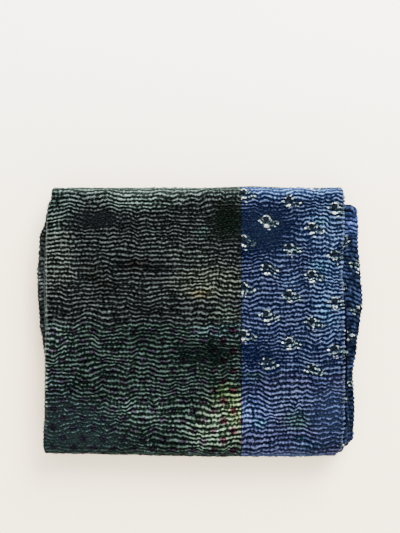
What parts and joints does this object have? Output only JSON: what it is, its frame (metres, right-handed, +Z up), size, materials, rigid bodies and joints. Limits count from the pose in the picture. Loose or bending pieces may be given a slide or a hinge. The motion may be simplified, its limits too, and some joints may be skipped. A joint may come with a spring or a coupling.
{
  "type": "folded kantha quilt",
  "caption": "Hand-stitched kantha quilt of patched cotton, folded in three across and rolled lengthwise into one flat pile that rests on its underside.",
  "frame": {"origin": "middle of the pile's underside, on the floor", "axes": "+X along the stitched rows, to the side where the inner layers stick out; +Y from the front fold to the back fold; +Z up"},
  "size_m": [0.5515, 0.4631, 0.0611],
  "materials": {
    "quilted_cotton": "matte"
  },
  "bodies": {
    "root": {"quilt": "quilted_cotton"}
  },
  "joints": []
}
